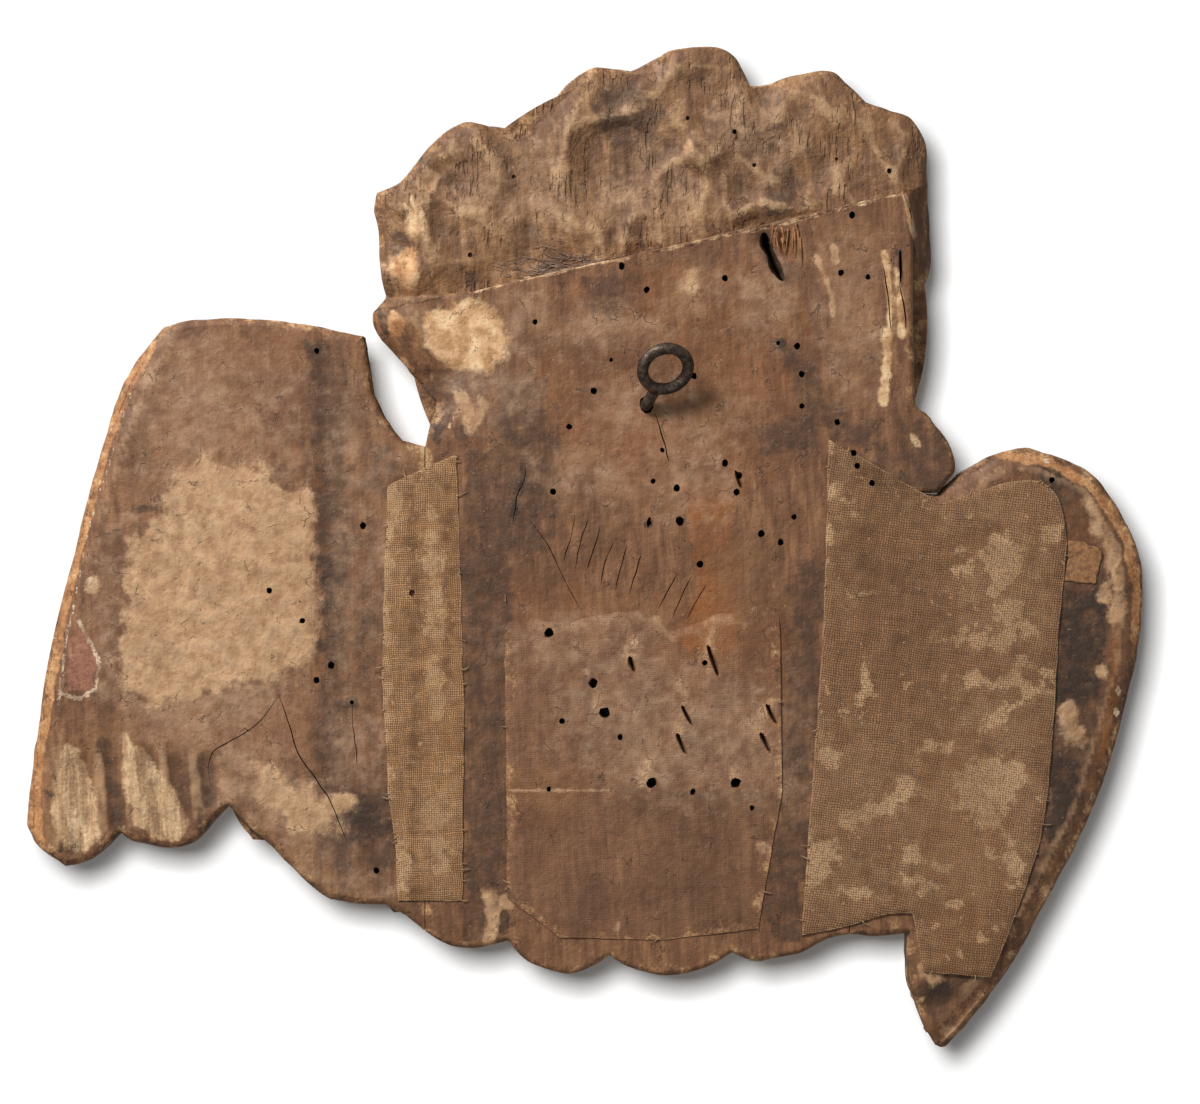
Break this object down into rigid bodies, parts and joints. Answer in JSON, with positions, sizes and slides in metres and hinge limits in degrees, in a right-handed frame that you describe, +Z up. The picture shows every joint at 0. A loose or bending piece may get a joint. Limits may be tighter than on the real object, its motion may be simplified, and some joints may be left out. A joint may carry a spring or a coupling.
{
  "type": "carved winged cherub head",
  "caption": "Winged cherub head carved in limewood, flat at the back with glued linen over the wing joints, hung on an iron eye screw.",
  "frame": {"origin": "centre of the eye screw's ring, 10 mm off the flat back", "axes": "+Z up as it hangs, +Y out of the flat back towards the wall, +X to the cherub's own left"},
  "size_m": [0.3727, 0.1225, 0.3353],
  "materials": {
    "limewood": "aged, stained and once gilded limewood",
    "linen": "coarse linen stiff with old glue size",
    "iron": "dark, handled wrought iron"
  },
  "bodies": {
    "root": {"head_block": "limewood", "wing_left": "limewood", "wing_right": "limewood", "linen_strip_left_joint": "linen", "linen_sheet_right_joint": "linen", "linen_patch_centre": "linen", "eye_screw": "iron"}
  },
  "joints": []
}
